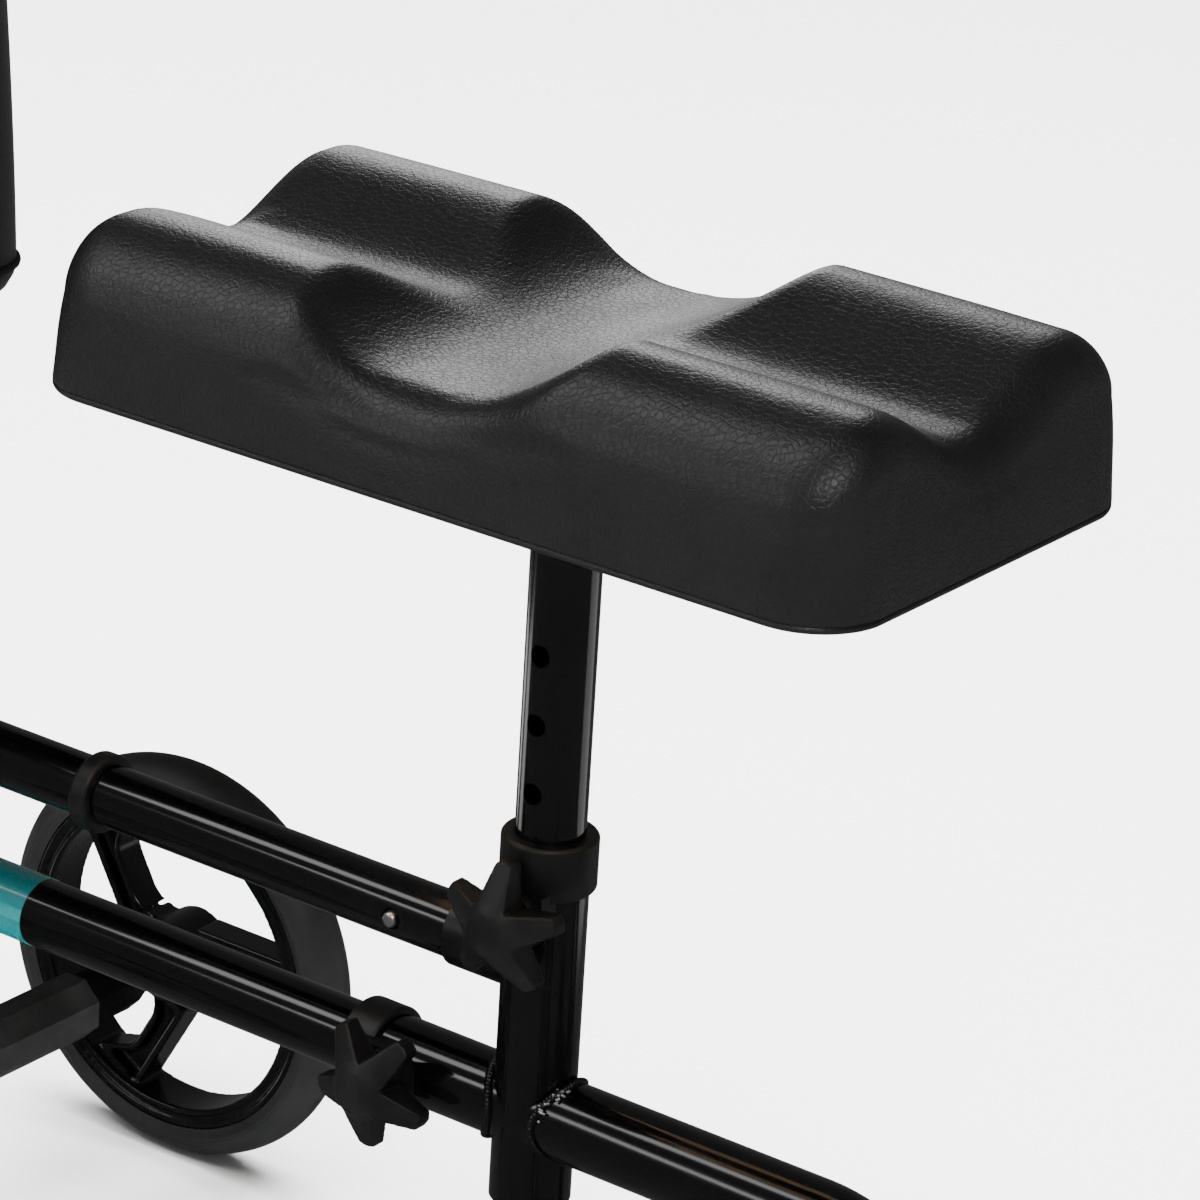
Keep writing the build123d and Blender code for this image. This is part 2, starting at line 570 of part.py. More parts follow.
def make_tiller():
    def at(z):
        return (FRONT_AXLE_X, 0, z)
    tongue = rod((FRONT_AXLE_X, -14.7, FOLD_Z), (FRONT_AXLE_X, 14.7, FOLD_Z), 16)
    tongue += box((FRONT_AXLE_X - 14, FRONT_AXLE_X + 14), (-14.7, 14.7), (FOLD_Z, COLUMN_BOTTOM - 4))
    tongue += rod(at(COLUMN_BOTTOM - 6), at(COLUMN_BOTTOM), MAIN_R)
    tongue += rod(at(COLUMN_BOTTOM), at(COLUMN_BOTTOM + 22), MAIN_BORE_R)
    tongue -= rod((FRONT_AXLE_X, -20, FOLD_Z), (FRONT_AXLE_X, 20, FOLD_Z), FOLD_PIN_R + RUNNING)
    save("fold_tongue", tongue)
    column = tube(at(COLUMN_BOTTOM), at(COLUMN_TOP), MAIN_R, MAIN_BORE_R)
    save("upper_column", column - screw_hole(COLUMN_CLAMP))


# ---------- handlebar ----------

BAR_DIRECTION = Vector(BAR_END[0] - FRONT_AXLE_X, BAR_END[1] - BAR_STRAIGHT, 0).normalized()


def bar_point(side, distance, forward=0.0):
    """A point beside the bar's swept end: distance along it from its elbow, and offset forwards."""
    along = Vector(FRONT_AXLE_X, BAR_STRAIGHT, BAR_Z) + BAR_DIRECTION * distance
    out = Vector(BAR_DIRECTION.Y, -BAR_DIRECTION.X, 0) * forward
    point = along + out
    return (point.X, side * point.Y, point.Z)


def make_handlebar():
    def at(z):
        return (FRONT_AXLE_X, 0, z)
    stem = tube(at(STEM_BOTTOM), at(BAR_Z - 12), POST_R, POST_BORE_R)
    for step in range(4):
        z = BAR_Z - 50 - step * HOLE_STEP
        stem -= rod((FRONT_AXLE_X, 0, z), (FRONT_AXLE_X, 20, z), POST_HOLE_R)
    bar_core = rod((FRONT_AXLE_X, -40, BAR_Z), (FRONT_AXLE_X, 40, BAR_Z), BAR_R)
    tee = rod((FRONT_AXLE_X, -24, BAR_Z), (FRONT_AXLE_X, 24, BAR_Z), 16)
    tee += rod(at(BAR_Z - 40), at(BAR_Z), 17)
    tee -= rod(at(BAR_Z - 41), at(BAR_Z - 12), POST_R)
    save("handlebar_stem", stem + tee - bar_core)

    ends = [(BAR_END[0], -BAR_END[1], BAR_Z), (FRONT_AXLE_X, -BAR_STRAIGHT, BAR_Z)]
    path = FilletPolyline(*ends, *[(x, -y, z) for x, y, z in reversed(ends)], radius=BAR_BEND_R)
    start = Plane(origin=ends[0], z_dir=Vector(*ends[1]) - Vector(*ends[0]))
    bar = sweep(start * Circle(BAR_R), path=path) - sweep(start * Circle(BAR_BORE_R), path=path)
    save("handlebar_bar", bar)

    reach = (Vector(*bar_point(1, 0)) - Vector(BAR_END[0], BAR_END[1], BAR_Z)).length
    grips = []
    for sign in (1, -1):
        grip = rod(bar_point(sign, reach - GRIP_LENGTH), bar_point(sign, reach + 4), GRIP_R)
        grip = fillet(grip.edges(), radius=3)
        start = reach - GRIP_LENGTH
        grip += rod(bar_point(sign, start), bar_point(sign, start + 5), GRIP_R + 3)
        grips.append(grip - rod(bar_point(sign, 0), bar_point(sign, reach), BAR_R))
    save("grips", group(*grips))
    return reach


def flat_piece(points, half):
    """A level plate. Its outline is in distances along the right grip and forwards of it."""
    corners = [bar_point(-1, along, forward) for along, forward in points]
    outline = make_face(Polyline([(x, y) for x, y, z in corners], close=True))
    return extrude(Pos(0, 0, BAR_Z - half) * outline, amount=2 * half)


def make_brake_lever(reach):
    """The brake lever on the right of the bar, and its clamp, pivot pin and cable barrel."""
    near, far = LEVER_PIVOT - 2, LEVER_PIVOT + 20
    pivot_x, pivot_y, _ = bar_point(-1, LEVER_PIVOT, LEVER_FORWARD)

    def on_pivot(half, radius):
        return rod((pivot_x, pivot_y, BAR_Z - half), (pivot_x, pivot_y, BAR_Z + half), radius)

    ring = rod(bar_point(-1, near), bar_point(-1, far), 15.5)
    arm = [(near, 8), (far, 8), (far, 20), (LEVER_PIVOT + 7, 33), (near - 8, 36), (near - 8, 22)]
    bracket = flat_piece(arm, BRACKET_HALF) + on_pivot(BRACKET_HALF, 8)
    room = [(LEVER_PIVOT - 1, 17.5), (far + 5, 17.5), (far + 5, 50), (LEVER_PIVOT - 1, 50)]
    bracket -= flat_piece(room, LEVER_HALF + CLEAR) + on_pivot(LEVER_HALF + CLEAR, 9.5)
    clamp = ring + bracket - rod(bar_point(-1, near - 20), bar_point(-1, far + 9), BAR_R)
    save("brake_lever_clamp", clamp - on_pivot(BRACKET_HALF + 1, 2.5))
    barrel = tube(bar_point(-1, near - 8, 29), bar_point(-1, near - 24, 29), 4.5, 2.2)
    save("brake_lever_fittings", group(on_pivot(BRACKET_HALF, 2.5), barrel))

    tip = reach - 24
    blade = [(LEVER_PIVOT - 4, 21), (LEVER_PIVOT + 10, 33), (LEVER_PIVOT + 60, 46), (tip, 53)]
    blade += [(tip, 62), (LEVER_PIVOT + 60, 55), (LEVER_PIVOT + 8, 43), (LEVER_PIVOT - 4, 34)]
    lever = flat_piece(blade, LEVER_HALF) + on_pivot(LEVER_HALF, 8)
    lever += Pos(*bar_point(-1, tip, 57.5)) * Sphere(6.5)
    save("brake_lever", lever - on_pivot(BRACKET_HALF, 2.5 + RUNNING))


# ---------- bag ----------

def make_bag():
    mid_x = (BAG_BACK + BAG_FRONT) / 2
    size = (BAG_FRONT - BAG_BACK, 2 * BAG_HALF)
    shell = prism(RectangleRounded(*size, 32), (mid_x, 0, BAG_BOTTOM), (0, 0, 1), BAG_TOP - BAG_BOTTOM)
    shell = fillet(shell.faces().sort_by(Axis.Z)[0].edges(), radius=24)
    inner = [side - 2 * BAG_WALL for side in size]
    hollow = RectangleRounded(*inner, 28)
    hollow = prism(hollow, (mid_x, 0, BAG_BOTTOM + BAG_WALL), (0, 0, 1), BAG_TOP - BAG_BOTTOM)
    hollow = fillet(hollow.faces().sort_by(Axis.Z)[0].edges(), radius=20)
    save("front_bag", shell - hollow)

    clamp = tube((FRONT_AXLE_X, 0, 470), (FRONT_AXLE_X, 0, 500), HEAD_R, STEERER_R)
    clamp += tube((FRONT_AXLE_X, 0, 430), (FRONT_AXLE_X, 0, 445), HEAD_R, STEERER_R)
    plate = box((BAG_BACK - 11, BAG_BACK - 8), (-24, 24), (425, 530))
    depth = (BAG_BACK - 11, BAG_BACK)
    hooks = box(depth, (-24, -16), (505, 513)) + box(depth, (16, 24), (505, 513))
    hooks += box(depth, (-24, 24), (430, 438))
    plate += box((FRONT_AXLE_X + 14, BAG_BACK - 8), (-8, 8), (470, 500)) - clamp
    bracket = clamp + plate + hooks
    save("bag_bracket", bracket - rod((FRONT_AXLE_X, 0, 400), (FRONT_AXLE_X, 0, 540), STEERER_R))


os.makedirs("parts", exist_ok=True)
make_wheels()
make_rear_frame()
make_clamp("seat", SEAT_CLAMP, POST_R + RUNNING, POST_COLLAR, 75, 0)
make_clamp("frame", FRAME_CLAMP, LOWER_R, FRAME_COLLAR, 0, -54)
make_clamp("column", COLUMN_CLAMP, POST_R + RUNNING, POST_COLLAR, 60, 0)
make_snap_button()
make_front_frame()
make_brake()
make_seat()
make_front_axle()
make_column()
make_fold_lever()
make_tiller()
make_brake_lever(make_handlebar())
make_bag()
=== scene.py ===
import json
import math

import bmesh
import bpy
import numpy as np
from mathutils import Matrix, Vector


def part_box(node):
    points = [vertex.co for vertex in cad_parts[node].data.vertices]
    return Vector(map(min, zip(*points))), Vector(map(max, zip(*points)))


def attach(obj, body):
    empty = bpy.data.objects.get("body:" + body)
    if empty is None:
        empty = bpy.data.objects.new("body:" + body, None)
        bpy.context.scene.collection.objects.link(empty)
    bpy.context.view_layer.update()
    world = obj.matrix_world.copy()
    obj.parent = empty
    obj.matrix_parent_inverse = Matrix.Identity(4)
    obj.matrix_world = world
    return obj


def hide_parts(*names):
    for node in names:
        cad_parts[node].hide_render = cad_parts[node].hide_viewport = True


# Knee scooter, in metres: +X forward, +Y to the rider's left, +Z up, standing on the floor at Z = 0.

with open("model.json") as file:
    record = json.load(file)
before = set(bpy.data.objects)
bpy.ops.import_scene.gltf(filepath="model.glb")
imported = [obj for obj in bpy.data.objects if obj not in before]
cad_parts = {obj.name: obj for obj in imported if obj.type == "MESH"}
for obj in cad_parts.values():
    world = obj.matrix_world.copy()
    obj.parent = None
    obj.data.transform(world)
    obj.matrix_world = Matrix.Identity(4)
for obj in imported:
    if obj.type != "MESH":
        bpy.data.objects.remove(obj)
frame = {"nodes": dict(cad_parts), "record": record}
nodes = frame["nodes"]
scene = bpy.context.scene
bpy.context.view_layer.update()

MM = 0.001


# ---------- where things are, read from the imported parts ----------

def middle(node):
    low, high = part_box(node)
    return (low + high) / 2


def extent(node):
    low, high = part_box(node)
    return high - low


post_x = middle("seat_sleeve").x
head_axis_x = middle("head_tube").x
main_r = extent("seat_sleeve").y / 2
lower_z = middle("front_lower_tube").z
upper_z = middle("front_upper_tube").z
lower_r = extent("front_lower_tube").y / 2
upper_r = extent("front_upper_tube").y / 2
head_r = extent("head_tube").y / 2
axle_z = middle("rear_axle").z
rear_x = middle("rear_axle").x
REAR_TUBE_SLOPE = Vector((95, 0, 118.75))


# ---------- materials ----------

class Value:
    """A number that varies over a surface. Arithmetic on it adds Math nodes."""

    def __init__(self, finish, socket):
        self.finish = finish
        self.socket = socket

    def math(self, operation, *others):
        sockets = dict(enumerate((self, *others)))
        return self.finish.value("ShaderNodeMath", {"operation": operation}, sockets)

    def __add__(self, other):
        return self.math("ADD", other)

    __radd__ = __add__

    def __mul__(self, other):
        return self.math("MULTIPLY", other)

    __rmul__ = __mul__

    def __sub__(self, other):
        return self.math("SUBTRACT", other)

    def __rsub__(self, other):
        return self.finish.value("ShaderNodeMath", {"operation": "SUBTRACT"}, {0: other, 1: self})

    def above(self, low, high):
        """0 below low, 1 above high, smooth between."""
        settings = {"interpolation_type": "SMOOTHSTEP"}
        sockets = {"Value": self, "From Min": low, "From Max": high}
        return self.finish.value("ShaderNodeMapRange", settings, sockets)


class Finish:
    """One material, and the nodes that feed its shader."""

    def __init__(self, name, **constants):
        self.material = bpy.data.materials.new(name)
        self.material.use_nodes = True
        self.tree = self.material.node_tree
        self.shader = self.tree.nodes["Principled BSDF"]
        for key, value in constants.items():
            self.shader.inputs[key.replace("_", " ")].default_value = value
        self.place = self.add("ShaderNodeTexCoord").outputs["Object"]

    def add(self, kind, settings=None, sockets=None):
        """Any node: its settings are set first, then its sockets get their values or links."""
        node = self.tree.nodes.new(kind)
        for key, value in (settings or {}).items():
            setattr(node, key, value)
        for key, value in (sockets or {}).items():
            self.join(value, node.inputs[key])
        return node

    def join(self, value, socket):
        if isinstance(value, Value):
            value = value.socket
        if isinstance(value, bpy.types.NodeSocket):
            self.tree.links.new(value, socket)
        else:
            socket.default_value = value

    def value(self, kind, settings=None, sockets=None):
        return Value(self, self.add(kind, settings, sockets).outputs[0])

    def noise(self, size, detail=2.0, rough=0.5, place=None):
        """Soft noise from 0 to 1, with features about as large as size."""
        sockets = {"Vector": place or self.place, "Scale": 1 / size}
        sockets.update(Detail=detail, Roughness=rough)
        return self.value("ShaderNodeTexNoise", None, sockets)

    def cells(self, size, feature):
        """Distances in a pattern of cells about as large as size."""
        sockets = {"Vector": self.place, "Scale": 1 / size}
        return self.value("ShaderNodeTexVoronoi", {"feature": feature}, sockets)

    def axis(self, letter):
        """One coordinate of the point on the surface, in metres."""
        node = self.add("ShaderNodeSeparateXYZ", None, {0: self.place})
        return Value(self, node.outputs[letter])

    def colour(self, low, high, amount):
        """The base colour, from low to high as amount goes from 0 to 1."""
        settings = {"data_type": "RGBA"}
        mix = self.add("ShaderNodeMix", settings, {0: amount, 6: (*low, 1), 7: (*high, 1)})
        self.join(mix.outputs[2], self.shader.inputs["Base Color"])

    def rough(self, value):
        self.join(value, self.shader.inputs["Roughness"])

    def bump(self, height, depth, strength=1.0):
        """Surface relief: height from 0 to 1 stands for this depth in metres. Calls add up."""
        sockets = {"Height": height, "Distance": depth, "Strength": strength}
        before = self.shader.inputs["Normal"].links
        if before:
            sockets["Normal"] = before[0].from_socket
        node = self.add("ShaderNodeBump", None, sockets)
        self.join(node.outputs[0], self.shader.inputs["Normal"])


def gloss_paint():
    """Black powder coat: deep gloss, faint orange peel, dust and fine rub marks."""
    paint = Finish("gloss_black_paint", Specular_IOR_Level=0.42)
    cloud = paint.noise(60 * MM, 3)
    paint.colour((0.0012, 0.0012, 0.0014), (0.0026, 0.0026, 0.0028), cloud)
    rubs = paint.noise(7 * MM, 5, 0.7).above(0.6, 0.75)
    paint.rough(0.10 + cloud * 0.05 + rubs * 0.06)
    paint.bump(paint.noise(2.2 * MM, 1), 0.010 * MM, 0.5)
    return paint


def moulded(name, dark, light, roughness, spread, grain, depth):
    """Moulded plastic: a fine sparked surface, with slightly paler worn patches."""
    plastic = Finish(name, Specular_IOR_Level=0.38)
    flow = plastic.noise(18 * MM, 4, 0.6)
    plastic.colour(dark, light, flow.above(0.35, 0.75))
    plastic.rough(roughness + flow * spread)
    plastic.bump(plastic.noise(grain, 3, 0.6), depth, 0.6)
    return plastic


def tyre_rubber():
    """Solid tyre: satin dark grey, with a fine sidewall and a dusty, slightly scuffed tread."""
    rubber = Finish("tyre_rubber", Specular_IOR_Level=0.3)
    flow = rubber.noise(26 * MM, 5, 0.6)
    dust = rubber.noise(3 * MM, 4, 0.7).above(0.5, 0.8)
    rubber.colour((0.010, 0.010, 0.0105), (0.028, 0.028, 0.029), flow * 0.7 + dust * 0.3)
    rubber.rough(0.42 + flow * 0.14 + dust * 0.1)
    rubber.bump(rubber.noise(0.7 * MM, 3, 0.65), 0.03 * MM, 0.6)
    return rubber


def pad_skin():
    """Integral-skin foam: a pebbled leather grain with fine creases between the pebbles."""
    skin = Finish("pad_skin", Specular_IOR_Level=0.45)
    warp = skin.noise(2.6 * MM, 2)
    pebbles = skin.cells(1.5 * MM, "SMOOTH_F1")
    creases = skin.cells(2.8 * MM, "DISTANCE_TO_EDGE").above(0.0, 0.14)
    flow = skin.noise(30 * MM, 5, 0.6)
    skin.colour((0.0050, 0.0050, 0.0053), (0.0115, 0.0115, 0.012), flow * 0.6 + warp * 0.4)
    skin.rough(0.39 + flow * 0.14 - creases * 0.06)
    skin.bump(1 - pebbles, 0.22 * MM, 0.6)
    skin.bump(creases, 0.12 * MM, 0.5)
    skin.bump(skin.noise(8 * MM, 3), 0.3 * MM, 0.5)
    return skin


def metal(name, dark, light, roughness, grain, depth):
    """Plated or cast metal: cloudy, with a fine grain."""
    steel = Finish(name, Metallic=1.0)
    cloud = steel.noise(9 * MM, 4, 0.6)
    steel.colour(dark, light, cloud)
    steel.rough(roughness + cloud * 0.15)
    steel.bump(steel.noise(grain, 3, 0.6), depth, 0.5)
    return steel


def bag_cloth():
    """Coated polyester: a plain weave of flat yarns, darker between them, faintly faded."""
    cloth = Finish("bag_cloth", Sheen_Weight=0.03, Sheen_Roughness=0.5, Specular_IOR_Level=0.3)
    yarn = 0.9 * MM
    turns = 2 * math.pi / yarn
    across = cloth.axis("Y").math("MULTIPLY", turns).math("SINE")
    up = (cloth.axis("Z") + cloth.axis("X") * 0.35).math("MULTIPLY", turns).math("SINE")
    weave = across * up * 0.5 + 0.5
    fade = cloth.noise(45 * MM, 4, 0.6)
    cloth.colour((0.0015, 0.0015, 0.0018), (0.007, 0.007, 0.0075), weave * 0.6 + fade * 0.4)
    cloth.rough(0.62 + fade * 0.15)
    cloth.bump(weave, 0.16 * MM, 0.6)
    cloth.bump(cloth.noise(14 * MM, 3), 0.8 * MM, 0.4)
    return cloth


def label_film():
    """A teal printed band under clear film, with a paler stripe along it."""
    film = Finish("label_film", Coat_Weight=0.5, Coat_Roughness=0.08)
    above_tube_middle, half_width, blur = 3 * MM, 2.2 * MM, 0.6 * MM
    stripe = film.axis("Z") - (lower_z + above_tube_middle)
    stripe = 1 - stripe.math("ABSOLUTE").above(half_width, half_width + blur)
    film.colour((0.0, 0.135, 0.145), (0.02, 0.27, 0.28), stripe * 0.5 + film.noise(20 * MM, 2) * 0.15)
    film.rough(0.24 + film.noise(5 * MM, 2) * 0.06)
    return film


def plywood():
    """Birch ply under the pad: long streaks along the grain."""
    wood = Finish("pad_board")
    stretched = wood.add("ShaderNodeMapping", None, {0: wood.place, "Scale": (0.06, 1, 1)}).outputs[0]
    streaks = wood.noise(4 * MM, 6, 0.65, stretched)
    wood.colour((0.28, 0.17, 0.08), (0.52, 0.37, 0.21), streaks)
    wood.rough(0.55 + streaks * 0.2)
    wood.bump(streaks, 0.12 * MM, 0.5)
    return wood


def pale_floor():
    floor = Finish("pale_floor", Specular_IOR_Level=0.2)
    floor.colour((0.86, 0.86, 0.86), (0.88, 0.88, 0.88), floor.noise(0.3, 2))
    floor.rough(0.75)
    return floor


jet = (0.0014, 0.0014, 0.0016)
soot = (0.0035, 0.0035, 0.0038)
charcoal = (0.0075, 0.0075, 0.008)
slate = (0.016, 0.016, 0.0165)
beam_grey = (0.03, 0.03, 0.031)
zinc_dark, zinc_light = (0.36, 0.36, 0.37), (0.52, 0.52, 0.53)
steel_dark, steel_light = (0.62, 0.62, 0.63), (0.75, 0.75, 0.76)
iron_dark, iron_light = (0.09, 0.09, 0.095), (0.17, 0.17, 0.175)
lining_dark, lining_light = (0.06, 0.045, 0.035), (0.12, 0.09, 0.07)
finishes = {
    "frame_paint": gloss_paint(),
    "axle_beam_paint": moulded("beam_paint", slate, beam_grey, 0.42, 0.14, 1.2 * MM, 0.05 * MM),
    "black_gloss_plastic": moulded("gloss_plastic", jet, soot, 0.16, 0.12, 3 * MM, 0.02 * MM),
    "knob_plastic": moulded("knob_plastic", soot, charcoal, 0.36, 0.18, 0.8 * MM, 0.06 * MM),
    "bushing_plastic": moulded("bushing_plastic", jet, soot, 0.3, 0.12, 0.9 * MM, 0.02 * MM),
    "zinc_steel": metal("zinc_steel", zinc_dark, zinc_light, 0.3, 1.5 * MM, 0.02 * MM),
    "bright_steel": metal("bright_steel", steel_dark, steel_light, 0.26, 2 * MM, 0.005 * MM),
    "black_aluminium": moulded("black_aluminium", soot, charcoal, 0.28, 0.12, 1 * MM, 0.02 * MM),
    "drum_iron": metal("drum_iron", iron_dark, iron_light, 0.45, 1.2 * MM, 0.06 * MM),
    "brake_lining": moulded("brake_lining", lining_dark, lining_light, 0.7, 0.2, 0.8 * MM, 0.08 * MM),
    "tyre_rubber": tyre_rubber(),
    "grip_rubber": moulded("grip_rubber", soot, charcoal, 0.55, 0.2, 0.8 * MM, 0.05 * MM),
    "pad_foam": pad_skin(),
    "pad_board": plywood(),
    "bag_fabric": bag_cloth(),
    "label_print": label_film(),
}
weld_paint = moulded("weld_paint", jet, soot, 0.1, 0.12, 1.1 * MM, 0.2 * MM)
thread = moulded("thread", charcoal, slate, 0.55, 0.2, 0.4 * MM, 0.05 * MM)

for entry in frame["record"]["subparts"]:
    mesh = nodes[entry["node"]].data
    mesh.materials.clear()
    mesh.materials.append(finishes[entry["material_slot"]].material)


# ---------- making pieces ----------

def new_piece(name, points, faces, finish, smooth=True):
    """A mesh object with its place in its mesh, and one material."""
    mesh = bpy.data.meshes.new(name)
    mesh.from_pydata([tuple(point) for point in points], [], faces)
    mesh.materials.append(finish.material)
    mesh.polygons.foreach_set("use_smooth", [smooth] * len(mesh.polygons))
    piece = bpy.data.objects.new(name, mesh)
    scene.collection.objects.link(piece)
    return piece


def face_outwards(mesh):
    """Joins points that share a place, and turns every face outwards."""
    same_place = 0.001 * MM
    work = bmesh.new()
    work.from_mesh(mesh)
    bmesh.ops.remove_doubles(work, verts=work.verts, dist=same_place)
    bmesh.ops.recalc_face_normals(work, faces=work.faces)
    work.to_mesh(mesh)
    work.free()


def plain_mesh(piece):
    """Replaces a piece's mesh with what its modifiers make of it, and removes them."""
    graph = bpy.context.evaluated_depsgraph_get()
    made = bpy.data.meshes.new_from_object(piece.evaluated_get(graph))
    piece.modifiers.clear()
    piece.data = made
    return piece


def softened(node, voxel, rounds, body):
    """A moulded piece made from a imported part, with its edges rounded as they leave a mould."""
    piece = bpy.data.objects.new(f"moulded_{node}", nodes[node].data.copy())
    scene.collection.objects.link(piece)
    face_outwards(piece.data)
    remesh = piece.modifiers.new("even", "REMESH")
    remesh.mode = "VOXEL"
    remesh.voxel_size = voxel
    smooth = piece.modifiers.new("round", "SMOOTH")
    smooth.factor = 0.5
    smooth.iterations = rounds
    plain_mesh(piece)
    piece.data.polygons.foreach_set("use_smooth", [True] * len(piece.data.polygons))
    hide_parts(node)
    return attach(piece, body)


def settle(piece, held, pressure, cap, frames, gravity=0.0):
    """Lets a skin take its shape as cloth under pressure. No point moves further than cap."""
    start = np.array([v.co for v in piece.data.vertices])
    pins = piece.vertex_groups.new(name="held")
    pins.add(held, 1.0, "REPLACE")
    cloth = piece.modifiers.new("skin", "CLOTH")
    cloth.settings.vertex_group_mass = "held"
    cloth.settings.use_pressure = True
    cloth.settings.uniform_pressure_force = pressure
    cloth.settings.effector_weights.gravity = gravity
    cloth.settings.quality = 5
    cloth.point_cache.frame_end = frames
    for step in range(1, frames + 1):
        scene.frame_set(step)
    graph = bpy.context.evaluated_depsgraph_get()
    swollen = piece.evaluated_get(graph).to_mesh()
    moved = np.array([v.co for v in swollen.vertices]) - start
    piece.modifiers.remove(cloth)
    scene.frame_set(1)
    piece.vertex_groups.remove(pins)
    length = np.linalg.norm(moved, axis=1, keepdims=True)
    scale = cap * np.tanh(length / cap) / np.maximum(length, 1e-9)
    piece.data.vertices.foreach_set("co", (start + moved * scale).ravel())
    piece.data.update()


def turned(name, profile, start, axis, finish, count=48):
    """A piece turned on an axis: profile is distances along it with radii, ending at radius 0."""
    smallest = 1e-7
    axis = Vector(axis).normalized()
    side = axis.orthogonal().normalized()
    other = axis.cross(side)
    points, faces = [], []
    for along, radius in profile:
        for step in range(count):
            angle = 2 * math.pi * step / count
            spoke = side * math.cos(angle) + other * math.sin(angle)
            points.append(Vector(start) + axis * along + spoke * max(radius, smallest))
    for ring in range(len(profile) - 1):
        for step in range(count):
            a, b = ring * count + step, ring * count + (step + 1) % count
            faces.append((a, b, b + count, a + count))
    piece = new_piece(name, points, faces, finish)
    face_outwards(piece.data)
    return piece


def tube_round(name, loop, radius, finish):
    """Round binding or piping that follows a closed loop of points."""
    line = bpy.data.curves.new(name, "CURVE")
    line.dimensions = "3D"
    line.bevel_depth = radius
    line.bevel_resolution = 4
    line.use_fill_caps = True
    spline = line.splines.new("POLY")
    spline.points.add(len(loop) - 1)
    for point, place in zip(spline.points, loop):
        point.co = (*place, 1)
    spline.use_cyclic_u = True
    holder = bpy.data.objects.new(name, line)
    scene.collection.objects.link(holder)
    graph = bpy.context.evaluated_depsgraph_get()
    mesh = bpy.data.meshes.new_from_object(holder.evaluated_get(graph))
    bpy.data.objects.remove(holder)
    mesh.materials.clear()
    mesh.materials.append(finish.material)
    mesh.polygons.foreach_set("use_smooth", [True] * len(mesh.polygons))
    piece = bpy.data.objects.new(name, mesh)
    scene.collection.objects.link(piece)
    return piece


# ---------- moulded parts with rounded edges ----------

KNOB_VOXEL, KNOB_ROUNDS = 0.55 * MM, 6
RIM_VOXEL, RIM_ROUNDS = 1.15 * MM, 4

for clamp in ("seat", "frame", "column"):
    softened(f"{clamp}_knob", KNOB_VOXEL, KNOB_ROUNDS, f"{clamp}_knob_body")
for corner in ("front_left", "front_right", "rear_left", "rear_right"):
    softened(f"{corner}_rim", RIM_VOXEL, RIM_ROUNDS, f"{corner}_wheel")


# ---------- rows of beads: welds and stitches ----------

def bead_tree():
    """Beads in a row along a path: the path's edges become a curve, and each point gets a flat drop."""
    tree = bpy.data.node_groups.new("row_of_beads", "GeometryNodeTree")
    face = tree.interface
    face.new_socket("Path", in_out="INPUT", socket_type="NodeSocketGeometry")
    sizes = {}
    for name in ("Spacing", "Length", "Width", "Height"):
        socket = face.new_socket(name, in_out="INPUT", socket_type="NodeSocketFloat")
        socket.default_value = 1 * MM
        sizes[name] = socket.identifier
    socket = face.new_socket("Finish", in_out="INPUT", socket_type="NodeSocketMaterial")
    sizes["Finish"] = socket.identifier
    face.new_socket("Beads", in_out="OUTPUT", socket_type="NodeSocketGeometry")

    def add(kind, **settings):
        node = tree.nodes.new(kind)
        for key, value in settings.items():
            setattr(node, key, value)
        return node

    def link(start, end):
        tree.links.new(start, end)

    entry = add("NodeGroupInput")
    curve = add("GeometryNodeMeshToCurve")
    even = add("GeometryNodeResampleCurve", mode="LENGTH")
    tangent = add("GeometryNodeInputTangent")
    turn = add("FunctionNodeAlignEulerToVector", axis="X")
    drop = add("GeometryNodeMeshIcoSphere")
    drop.inputs["Radius"].default_value = 0.5
    drop.inputs["Subdivisions"].default_value = 2
    size = add("ShaderNodeCombineXYZ")
    place = add("GeometryNodeInstanceOnPoints")
    real = add("GeometryNodeRealizeInstances")
    shade = add("GeometryNodeSetShadeSmooth")
    paint = add("GeometryNodeSetMaterial")
    leave = add("NodeGroupOutput")
    link(entry.outputs["Path"], curve.inputs["Mesh"])
    link(curve.outputs[0], even.inputs["Curve"])
    link(entry.outputs["Spacing"], even.inputs["Length"])
    link(even.outputs[0], place.inputs["Points"])
    link(drop.outputs["Mesh"], place.inputs["Instance"])
    link(tangent.outputs[0], turn.inputs["Vector"])
    link(turn.outputs[0], place.inputs["Rotation"])
    for socket, name in zip(size.inputs, ("Length", "Width", "Height")):
        link(entry.outputs[name], socket)
    link(size.outputs[0], place.inputs["Scale"])
    link(place.outputs[0], real.inputs[0])
    link(real.outputs[0], shade.inputs[0])
    link(shade.outputs[0], paint.inputs["Geometry"])
    link(entry.outputs["Finish"], paint.inputs["Material"])
    link(paint.outputs[0], leave.inputs[0])
    return tree, sizes


bead_nodes, bead_inputs = bead_tree()


def row_of_beads(name, paths, body, finish, closed=True, **sizes):
    """One mesh of beads along one or more paths, riding on a body."""
    points, edges = [], []
    for path in paths:
        first = len(points)
        points.extend(tuple(point) for point in path)
        edges.extend((first + i, first + i + 1) for i in range(len(path) - 1))
        if closed:
            edges.append((len(points) - 1, first))
    mesh = bpy.data.meshes.new(name)
    mesh.from_pydata(points, edges, [])
    piece = bpy.data.objects.new(name, mesh)
    scene.collection.objects.link(piece)
    modifier = piece.modifiers.new("beads", "NODES")
    modifier.node_group = bead_nodes
    for key, value in sizes.items():
        modifier[bead_inputs[key]] = value
    modifier[bead_inputs["Finish"]] = finish.material
    plain_mesh(piece)
    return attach(piece, body)


